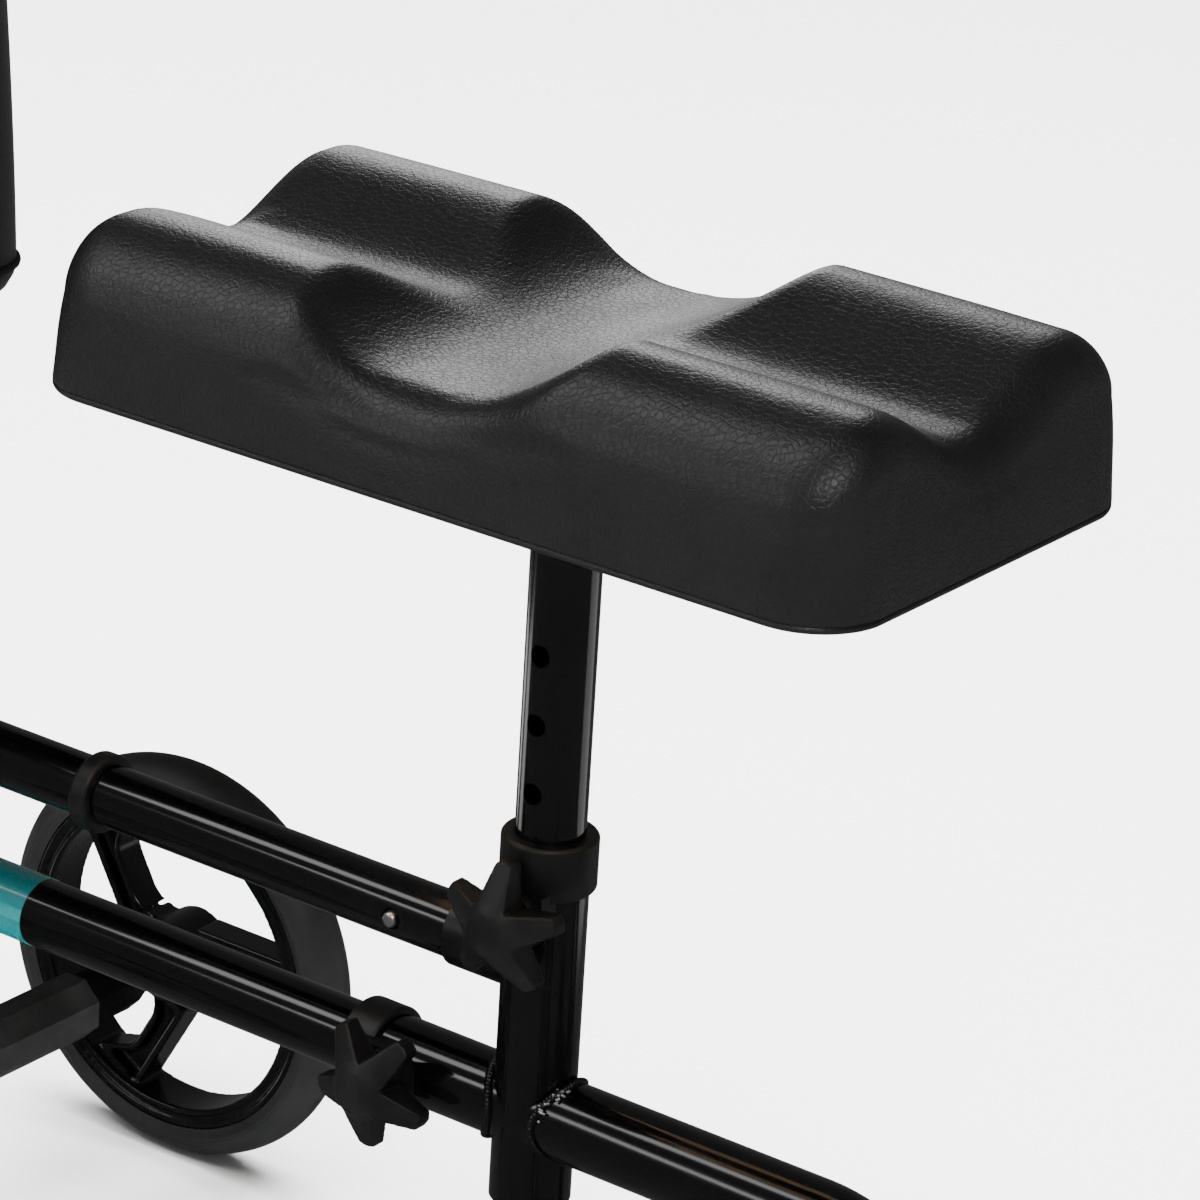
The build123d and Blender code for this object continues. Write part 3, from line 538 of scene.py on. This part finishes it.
def saddle(start, along, branch_radius, centre, axis, main_radius, count=96):
    """Where the surface of a branch tube meets the surface of a main tube, seen from the branch."""
    along, axis = Vector(along).normalized(), Vector(axis).normalized()
    side = axis.cross(along).normalized()
    other = along.cross(side)
    points = []
    for step in range(count):
        angle = 2 * math.pi * step / count
        foot = Vector(start) + branch_radius * (math.cos(angle) * side + math.sin(angle) * other)
        offset = foot - Vector(centre)
        offset -= axis * offset.dot(axis)
        run = along - axis * along.dot(axis)
        a, b = run.dot(run), 2 * run.dot(offset)
        c = offset.dot(offset) - main_radius ** 2
        root = math.sqrt(max(b * b - 4 * a * c, 0))
        points.append(foot + along * ((-b + root) / (2 * a)))
    return points


def circle(centre, axis, radius, count=72):
    """Points round a circle."""
    axis = Vector(axis).normalized()
    side = axis.orthogonal().normalized()
    other = axis.cross(side)
    turns = [2 * math.pi * step / count for step in range(count)]
    return [Vector(centre) + radius * (math.cos(t) * side + math.sin(t) * other) for t in turns]


def coped_ring(start, along, radius, count=96):
    """The line of weld round a tube coped onto one of the same size, where its cut end stops short."""
    cope_width, clear = 0.83, 1.2 * MM
    along = Vector(along).normalized()
    side = Vector((0, 1, 0))
    other = along.cross(side)
    points = []
    for step in range(count):
        angle = 2 * math.pi * step / count
        across = cope_width * radius * math.sin(angle)
        reach = math.sqrt(radius ** 2 - across ** 2) + clear
        foot = radius * (math.sin(angle) * side + math.cos(angle) * other)
        points.append(Vector(start) + foot + along * reach)
    return points


WELD_PROUD = 0.3 * MM
WELD_BEAD = {"Spacing": 1.5 * MM, "Length": 3.2 * MM, "Width": 4.6 * MM, "Height": 3.4 * MM}
SPECK = {"Spacing": 1.0, "Length": 1.1 * MM, "Width": 1.0 * MM, "Height": 1.2 * MM}


def make_welds():
    """Rows of weld beads at the frame's joints, under the seat plate and on the axle beam."""
    up, ahead, back = (0, 0, 1), (1, 0, 0), (-1, 0, 0)
    head = (head_axis_x, 0, 0)
    joint = (post_x, 0, lower_z)
    lower_end, upper_end = (head_axis_x, 0, lower_z), (head_axis_x, 0, upper_z)
    head_proud = head_r + WELD_PROUD
    frame_welds = [
        coped_ring(joint, ahead, main_r),
        coped_ring(joint, back, main_r),
        coped_ring((rear_x, 0, axle_z), REAR_TUBE_SLOPE, main_r),
        saddle(lower_end, back, lower_r + WELD_PROUD, head, up, head_proud),
        saddle(upper_end, back, upper_r + WELD_PROUD, head, up, head_proud),
    ]
    row_of_beads("frame_welds", frame_welds, "rear_frame", weld_paint, **WELD_BEAD)
    post_r = extent("seat_post").y / 2
    plate_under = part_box("seat_post")[1].z
    ring = circle((post_x, 0, plate_under), up, post_r + WELD_PROUD)
    row_of_beads("seat_plate_weld", [ring], "seat", weld_paint, **WELD_BEAD)
    beam_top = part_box("front_axle_beam")[1].z
    steerer_r = extent("steerer_tube").y / 2
    ring = circle((head_axis_x, 0, beam_top), up, steerer_r + WELD_PROUD)
    row_of_beads("axle_beam_weld", [ring], "steering", weld_paint, **WELD_BEAD)
    # Painted glints: bright specks on the upper left of the rear tube's weld.
    make_weld_glints(coped_ring(joint, back, main_r + 1.5 * MM, 240))


def scattered(step, wave, size):
    """A fixed number from 0 to 1 that looks random from one step to the next."""
    return math.sin(step * wave) * size % 1.0


def make_weld_glints(seam):
    """Bright steel specks on the weld of the rear tube, on its upper left: painted glints that stand in
    for highlights on the weld's ripples.
    """
    first, spread, wander, length = 72, 1.3, 9, 5 * MM
    spots = []
    for step in range(26):
        drift = scattered(step, 12.9898, 43758.5453)
        side = scattered(step, 78.233, 12543.853)
        spot = seam[first + int(step * spread + wander * drift)]
        spots.append(spot + Vector((length * (side - 0.5), 0, -0.5 * MM * drift)))
    tick = Vector((0.2 * MM, 0, 0))
    pairs = [[spot, spot + tick] for spot in spots]
    steel = finishes["bright_steel"]
    # The specks are painted highlights: bright steel placed where the weld's ripples catch the light.
    row_of_beads("weld_spatter", pairs, "rear_frame", steel, closed=False, **SPECK)


make_welds()


# ---------- knee pad ----------

pad_low, pad_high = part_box("knee_pad")
PAD_EDGE = 18 * MM
PAD_CORNER = 29 * MM
PAD_DRAFT = 3.6 * MM
PAD_GRID = 2.6 * MM
PAD_EDGE_TURNS = 13

# The pad's moulded top, in millimetres above its underside: a front number, then a rear one.
LOBE_CREST = (62.7, 67.9)
VALLEY = (44.4, 45.9)
FLANK_TOP = (55.5, 60)
TROUGH_START = (18.7, 8.7)
TROUGH_RADIUS = (61.2, 93.7)
TROUGH_CHANGE = 12
TROUGH_BOTTOM = 37.4
TROUGH_SLOPE = 1.85
TROUGH_BEND = 0.88
FLANK_FOOT = 2
FALL, FALL_START, FALL_END = 13, 62, 98
BLEND = 6.5


def smoothstep(low, high, value):
    """0 below low, 1 above high, smooth between."""
    t = np.clip((value - low) / (high - low), 0, 1)
    return t * t * (3 - 2 * t)


def pad_height(x, y):
    """The top of the pad above its underside, before its edge is rounded."""
    x, y = x / MM, np.abs(y) / MM
    crest = np.where(x > 0, *LOBE_CREST)
    valley = np.where(x > 0, *VALLEY)
    flank_top = np.where(x > 0, *FLANK_TOP)
    lobes = valley + (crest - valley) * smoothstep(FLANK_FOOT, flank_top, y)
    lobes = lobes - FALL * smoothstep(FALL_START, FALL_END, y)
    front, rear = TROUGH_START
    reach = np.maximum(x - front, 0) + np.maximum(rear - x, 0)
    radius = np.where(x > TROUGH_CHANGE, *TROUGH_RADIUS)
    bend = np.minimum(reach, TROUGH_BEND * radius)
    trough = TROUGH_BOTTOM + radius - np.sqrt(radius ** 2 - bend ** 2)
    trough = trough + TROUGH_SLOPE * (reach - bend)
    share = np.clip(0.5 + 0.5 * (trough - lobes) / BLEND, 0, 1)
    return (trough * (1 - share) + lobes * share - BLEND * share * (1 - share)) * MM


def corner_map(x, y, half_x, half_y, radius):
    """Moves the corner squares of a rectangle's grid onto quarter discs."""
    p = np.clip((np.abs(x) - (half_x - radius)) / radius, 0, 1)
    q = np.clip((np.abs(y) - (half_y - radius)) / radius, 0, 1)
    shifted_p = p * np.sqrt(1 - q * q / 2)
    shifted_q = q * np.sqrt(1 - p * p / 2)
    new_x = np.sign(x) * (np.abs(x) + (shifted_p - p) * radius)
    new_y = np.sign(y) * (np.abs(y) + (shifted_q - q) * radius)
    return new_x, new_y


def edge_distance(x, y, half_x, half_y, radius):
    """How far inside a rounded rectangle a point is."""
    p = np.abs(x) - (half_x - radius)
    q = np.abs(y) - (half_y - radius)
    outside = np.hypot(np.maximum(p, 0), np.maximum(q, 0))
    return radius - outside - np.minimum(np.maximum(p, q), 0)


def spaced(half, edge, step, turns):
    """Grid lines from -half to half, even inside and spaced by angle round the edge."""
    inner = half - edge
    count = int(round(inner / step))
    line = [inner * i / count for i in range(count + 1)]
    line += [inner + edge * math.sin(math.pi / 2 * i / turns) for i in range(1, turns + 1)]
    return np.array([-value for value in reversed(line[1:])] + line)


def sign(value):
    return 1 if value > 0 else -1


def way_out(x, y, half_x, half_y, corner):
    """The direction straight out of a rounded rectangle, at a point on its line."""
    p, q = abs(x) - (half_x - corner), abs(y) - (half_y - corner)
    out = Vector((max(p, 0) * sign(x), max(q, 0) * sign(y), 0))
    if out.length < 1e-9:
        out = Vector((sign(x), 0, 0)) if p > q else Vector((0, sign(y), 0))
    return out.normalized()


# How far the foot of the pad stands out and how high, in millimetres: lip, groove, base and sole.
PAD_LIPS = (
    (0, 3.3), (-0.7, 3.0), (-0.7, 2.5), (0, 2.2), (0, 1.1),
    (-0.4, 0.35), (-1.2, 0.0), (-7.6, 0.0), (-7.8, 8.8),
)
PAD_LIP_TOP = 3.6 * MM
PAD_BULGE = 0.8 * MM
PAD_WALL_STEPS = (0.12, 0.26, 0.42, 0.58, 0.74, 0.88, 1.0)
PAD_HELD_BELOW = 24 * MM


def make_pad():
    """The moulded knee pad: two lobes and a valley, a rounded edge, a drafted wall and a lip."""
    half_x = (pad_high.x - pad_low.x) / 2 - PAD_DRAFT
    half_y = (pad_high.y - pad_low.y) / 2 - PAD_DRAFT
    corner = PAD_CORNER - PAD_DRAFT
    shape = (half_x, half_y, corner)
    xs = spaced(half_x, PAD_EDGE, PAD_GRID, PAD_EDGE_TURNS)
    ys = spaced(half_y, PAD_EDGE, PAD_GRID, PAD_EDGE_TURNS)
    grid_x, grid_y = np.meshgrid(xs, ys, indexing="ij")
    grid_x, grid_y = corner_map(grid_x, grid_y, *shape)
    depth = np.clip(edge_distance(grid_x, grid_y, *shape), 0, PAD_EDGE)
    top = pad_height(grid_x, grid_y)
    top -= PAD_EDGE - np.sqrt(np.maximum(PAD_EDGE ** 2 - (PAD_EDGE - depth) ** 2, 0))
    rows, columns = grid_x.shape
    cells = [(i, j) for i in range(rows) for j in range(columns)]
    points = [(grid_x[i, j], grid_y[i, j], top[i, j]) for i, j in cells]
    faces = []
    for i in range(rows - 1):
        for j in range(columns - 1):
            a = i * columns + j
            faces.append((a, a + columns, a + columns + 1, a + 1))
    rim = [i * columns for i in range(rows)]
    rim += [(rows - 1) * columns + j for j in range(1, columns)]
    rim += [i * columns + columns - 1 for i in range(rows - 2, -1, -1)]
    rim += [j for j in range(columns - 2, 0, -1)]
    outline = []
    for index in rim:
        x, y, z = points[index]
        outline.append((Vector((x, y, 0)), way_out(x, y, *shape), z))
    rings = [rim]
    for t in PAD_WALL_STEPS:
        bulge = PAD_BULGE * math.sin(math.pi * t)
        ring = []
        for foot, out, z in outline:
            place = foot + out * (PAD_DRAFT * t + bulge * (1 - t))
            ring.append(len(points))
            points.append((place.x, place.y, PAD_LIP_TOP + (z - PAD_LIP_TOP) * (1 - t)))
        rings.append(ring)
    for reach, z in PAD_LIPS:
        ring = []
        for foot, out, _ in outline:
            place = foot + out * (PAD_DRAFT + reach * MM)
            ring.append(len(points))
            points.append((place.x, place.y, z * MM))
        rings.append(ring)
    for upper, lower in zip(rings, rings[1:]):
        for k in range(len(rim)):
            n = (k + 1) % len(rim)
            faces.append((upper[n], upper[k], lower[k], lower[n]))
    faces.append(tuple(rings[-1]))
    centre = Vector(((pad_low.x + pad_high.x) / 2, 0, pad_low.z))
    points = [Vector(point) + centre for point in points]
    pad = new_piece("foam_knee_pad", points, faces, finishes["pad_foam"])
    face_outwards(pad.data)
    limit = pad_low.z + PAD_HELD_BELOW
    held = [v.index for v in pad.data.vertices if v.co.z < limit]
    settle(pad, held, pressure=3.0, cap=0.9 * MM, frames=14)
    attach(pad, "seat")
    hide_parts("knee_pad")


make_pad()


# ---------- front bag ----------

bag_low, bag_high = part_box("front_bag")
BAG_ROUND = 30 * MM
BAG_INSET_X, BAG_INSET_Y = 5 * MM, 1 * MM
BAG_SHIFT_X = -4 * MM
BAG_BELOW_TOP, BAG_ABOVE_BASE = 4 * MM, 9 * MM
BAG_BASE_ROUND = 20 * MM
BAG_TAPER = 9 * MM
BAG_ROWS, BAG_TURNS = 34, 6
STITCH = {"Spacing": 3.4 * MM, "Length": 2.4 * MM, "Width": 0.8 * MM}


def bag_outline(half_x, half_y, corner, count=24):
    """Points round a rounded rectangle, anticlockwise from above, closest together in its corners."""
    end_steps, side_steps = 8, 16
    long_x, long_y = half_x - corner, half_y - corner
    points = []
    for cx, cy, start in ((1, 1, 0), (-1, 1, 90), (-1, -1, 180), (1, -1, 270)):
        for step in range(count):
            angle = math.radians(start + 90 * step / (count - 1))
            x = cx * long_x + corner * math.cos(angle)
            y = cy * long_y + corner * math.sin(angle)
            points.append((x, y))
        x, y = points[-1]
        if cx == cy:
            points += [(x - 2 * long_x * cx * k / end_steps, y) for k in range(1, end_steps)]
        else:
            points += [(x, y - 2 * long_y * cy * k / side_steps) for k in range(1, side_steps)]
    return points


def bag_rings(top, base):
    """The insets and heights of the bag's rings: down its wall, round its foot and under it."""
    foot = base + BAG_BASE_ROUND
    rings = [(0.0, top + (foot - top) * i / BAG_ROWS) for i in range(BAG_ROWS + 1)]
    for turn in range(1, BAG_TURNS + 1):
        angle = math.pi / 2 * turn / BAG_TURNS
        inset = BAG_BASE_ROUND * (1 - math.cos(angle))
        rings.append((inset, base + BAG_BASE_ROUND * (1 - math.sin(angle))))
    return rings + [(BAG_BASE_ROUND + 5 * MM * k, base) for k in range(1, 6)]


def make_bag():
    """A soft open pouch that bellies out and sags, with a bound rim and piping round its base."""
    centre = (bag_low + bag_high) / 2
    half_x = (bag_high.x - bag_low.x) / 2 - BAG_INSET_X
    half_y = (bag_high.y - bag_low.y) / 2 - BAG_INSET_Y
    outline = bag_outline(half_x, half_y, BAG_ROUND)
    top, base = bag_high.z - BAG_BELOW_TOP, bag_low.z + BAG_ABOVE_BASE
    rings = bag_rings(top, base)
    points, faces = [], []
    count = len(outline)
    for inset, z in rings:
        drop = (top - z) / (top - base)
        inset += BAG_TAPER * (1 - drop) ** 1.5
        for x, y in outline:
            fx = max(abs(x) - inset, 0.3 * MM * abs(x) / half_x) * sign(x)
            fy = max(abs(y) - inset, 0) * sign(y)
            points.append((centre.x + BAG_SHIFT_X + fx, fy, z))
    for ring in range(len(rings) - 1):
        for step in range(count):
            a, b = ring * count + step, ring * count + (step + 1) % count
            faces.append((a, a + count, b + count, b))
    faces.append(tuple(range((len(rings) - 1) * count, len(rings) * count)))
    bag = new_piece("soft_bag", points, faces, finishes["bag_fabric"])
    rim = [Vector(point) for point in points[:count]]
    held = [i for i in range(len(points)) if points[i][2] > top - 6 * MM]
    settle(bag, held, pressure=2.2, cap=7 * MM, frames=18, gravity=0.6)
    foot_ring = BAG_ROWS * count
    seam = [bag.data.vertices[foot_ring + i].co.copy() for i in range(count)]
    thicken(bag, 2.4 * MM)
    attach(bag, "steering")
    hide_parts("front_bag")
    binding = tube_round("bag_rim_binding", rim, 2.6 * MM, finishes["bag_fabric"])
    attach(binding, "steering")
    piping = tube_round("bag_base_piping", seam, 1.9 * MM, finishes["grip_rubber"])
    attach(piping, "steering")
    middle_x = centre.x + BAG_SHIFT_X
    out = [Vector((v.x - middle_x, v.y, 0)).normalized() * 0.5 * MM for v in rim]
    line = [v + o - Vector((0, 0, 6 * MM)) for v, o in zip(rim, out)]
    row_of_beads("bag_rim_stitches", [line], "steering", thread, Height=0.8 * MM, **STITCH)
    make_pocket(half_y)


def thicken(piece, thickness):
    """Gives a sheet its thickness, inwards."""
    wall = piece.modifiers.new("thickness", "SOLIDIFY")
    wall.thickness = thickness
    wall.offset = -1
    plain_mesh(piece)


def make_pocket(half_y):
    """A flat stitched pocket on the bag's front, with a flap over it."""
    front = bag_high.x - 9 * MM
    wide, low, high = half_y * 0.66, bag_low.z + 42 * MM, bag_high.z - 78 * MM
    make_patch("bag_pocket", front, wide, low, high, 7.0 * MM)
    make_patch("bag_pocket_flap", front, wide, high - 16 * MM, high + 34 * MM, 8.6 * MM)


def make_patch(name, front, wide, z_low, z_high, proud):
    """A rectangle of cloth that stands proud of the bag's front, with a row of stitches round it."""
    across, tall = 40, 24
    z_middle, z_half = (z_low + z_high) / 2, (z_high - z_low) / 2
    points, faces = [], []
    for i in range(tall + 1):
        for j in range(across + 1):
            u, v = 2 * j / across - 1, 2 * i / tall - 1
            edge = (1 - abs(u) ** 5) * (1 - abs(v) ** 5)
            puff = proud * (0.55 + 0.45 * edge ** 0.4) if edge > 0 else proud * 0.3
            trim = 1 - 0.05 * abs(v) ** 6
            points.append((front + puff, wide * u * trim, z_middle + z_half * v))
    for i in range(tall):
        for j in range(across):
            a = i * (across + 1) + j
            faces.append((a, a + 1, a + across + 2, a + across + 1))
    patch = new_piece(name, points, faces, finishes["bag_fabric"])
    thicken(patch, 3.2 * MM)
    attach(patch, "steering")
    u, v = 0.92, 0.86
    line = [Vector((front + proud * 0.9, wide * a, z_middle + z_half * b))
            for a, b in ((-u, -v), (u, -v), (u, v), (-u, v))]
    row_of_beads(f"{name}_stitches", [line], "steering", thread, Height=1.0 * MM, **STITCH)


make_bag()


# ---------- handlebar grips ----------

# Distances along a grip from its inner end with radii, in millimetres: flange, then domed end.
GRIP_FLANGE = [(0, 0), (0, 11.4), (0, 17.6), (0.8, 18.8), (4.2, 18.8), (5.2, 17.4), (6.4, 15.6)]
GRIP_END = [(111.5, 15.6), (115, 15.6), (117.4, 14.4), (118.7, 12.2), (119, 8), (119, 0)]
GRIP_LENGTH = 115 * MM
RIB_START, RIB_STEP, RIB_COUNT, RIB_PITCH = 8, 0.25, 408, 5.5
RIB_RADIUS, RIB_HEIGHT = 15.1, 0.75
ELBOW_Y = 0.060
SWEEP_X, SWEEP_Y = -45, 168


def rib(k):
    """One point of the wave that runs along a grip."""
    wave = math.cos(k * RIB_STEP * 2 * math.pi / RIB_PITCH)
    return RIB_START + RIB_STEP * k, RIB_RADIUS + RIB_HEIGHT * wave


def make_grips():
    """Rubber grips with a flange, rounded ribs and a domed end."""
    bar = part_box("handlebar_bar")
    sweep = Vector((SWEEP_X, SWEEP_Y, 0)).normalized()
    bar_z = (bar[0].z + bar[1].z) / 2
    reach = math.hypot(SWEEP_X, SWEEP_Y) * MM
    ribs = [rib(k) for k in range(RIB_COUNT)]
    profile = [(a * MM, r * MM) for a, r in GRIP_FLANGE + ribs + GRIP_END]
    for side, name in ((1, "left"), (-1, "right")):
        direction = Vector((sweep.x, sweep.y * side, 0))
        elbow = Vector((head_axis_x, ELBOW_Y * side, bar_z))
        start = elbow + direction * (reach - GRIP_LENGTH)
        grip = turned(f"ribbed_grip_{name}", profile, start, direction, finishes["grip_rubber"])
        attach(grip, "handlebar")
        if side == 1:
            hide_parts("grips")


make_grips()


# ---------- camera, light and floor ----------

CAMERA_PLACE = (-1.10945, 1.44021, 1.13006)
CAMERA_DOWN, CAMERA_TURN, CAMERA_ROLL = 0.378486, 0.952922, 0.061517
LENS, SENSOR, FAR_CLIP = 156.442, 36.0, 200.0


def make_camera():
    """A long lens, high on the left and behind, turned a little clockwise."""
    level = Vector((math.cos(CAMERA_TURN), -math.sin(CAMERA_TURN), 0))
    right = Vector((-math.sin(CAMERA_TURN), -math.cos(CAMERA_TURN), 0))
    ahead = level * math.cos(CAMERA_DOWN) - Vector((0, 0, math.sin(CAMERA_DOWN)))
    above = level * math.sin(CAMERA_DOWN) + Vector((0, 0, math.cos(CAMERA_DOWN)))
    right_rolled = right * math.cos(CAMERA_ROLL) + above * math.sin(CAMERA_ROLL)
    up_rolled = -right * math.sin(CAMERA_ROLL) + above * math.cos(CAMERA_ROLL)
    lens = bpy.data.cameras.new("camera")
    lens.lens = LENS
    lens.sensor_width = SENSOR
    lens.clip_end = FAR_CLIP
    camera = bpy.data.objects.new("camera", lens)
    axes = Matrix((right_rolled, up_rolled, -ahead)).transposed().to_4x4()
    camera.matrix_world = Matrix.Translation(CAMERA_PLACE) @ axes
    scene.collection.objects.link(camera)
    scene.camera = camera


def soft_light(name, place, aim, size, power):
    """A rectangular lamp that faces a point: size is its width and its height."""
    lamp = bpy.data.lights.new(name, "AREA")
    lamp.shape = "RECTANGLE"
    lamp.size, lamp.size_y = size
    lamp.energy = power
    light = bpy.data.objects.new(name, lamp)
    back = (Vector(place) - Vector(aim)).normalized()
    level = Vector((0, 1, 0)).cross(back).normalized()
    turn = Matrix((level, back.cross(level), back)).transposed().to_4x4()
    light.matrix_world = Matrix.Translation(place) @ turn
    scene.collection.objects.link(light)
    return light


def light_only(light, name, pieces):
    """Keeps a light to these pieces."""
    group = bpy.data.collections.new(name)
    for piece in pieces:
        group.objects.link(piece)
    light.light_linking.receiver_collection = group


FLOOR_HALF = 40.0
SKY_STRENGTH = 0.13
AIM = (-0.1, 0, 0.4)
LOW_AIM = (-0.07, 0, -0.26)


def make_studio():
    """A pale floor that the gloss doesn't mirror, a dim sky and a few soft lamps."""
    corners = [(x * FLOOR_HALF, y * FLOOR_HALF, 0) for x, y in ((-1, -1), (1, -1), (1, 1), (-1, 1))]
    floor = new_piece("floor", corners, [(0, 1, 2, 3)], pale_floor(), smooth=False)
    floor.visible_glossy = False
    world = bpy.data.worlds.new("studio")
    world.use_nodes = True
    backdrop = world.node_tree.nodes["Background"]
    backdrop.inputs["Color"].default_value = (1, 1, 1, 1)
    backdrop.inputs["Strength"].default_value = SKY_STRENGTH
    scene.world = world
    soft_light("overhead_strip", (1.25, 0.95, 2.4), AIM, (2.2, 0.5), 20)
    soft_light("key", (-1.5, 1.95, 2.4), AIM, (0.26, 0.26), 26)
    soft_light("front_left", (1.4, 2.6, 1.5), AIM, (0.3, 1.4), 9)
    # The floor shades these two lamps below it: only the gloss shows them, as dim thin lines.
    soft_light("low_front", (1.4, 0, -0.26), LOW_AIM, (0.16, 1.0), 1.2)
    soft_light("low_far", (-0.92, -1.2, -0.26), LOW_AIM, (0.3, 1.0), 1.2)
    far = soft_light("far_side", (1.7, -2.4, 1.7), AIM, (2.0, 0.8), 30)
    soft_goods = [bpy.data.objects[name] for name in ("foam_knee_pad", "soft_bag")]
    light_only(far, "soft_goods", soft_goods)
    wash = soft_light("floor_wash", (0, 0, 5), (0, 0, 0), (6, 6), 2300)
    light_only(wash, "floor_only", [floor])


make_camera()
make_studio()
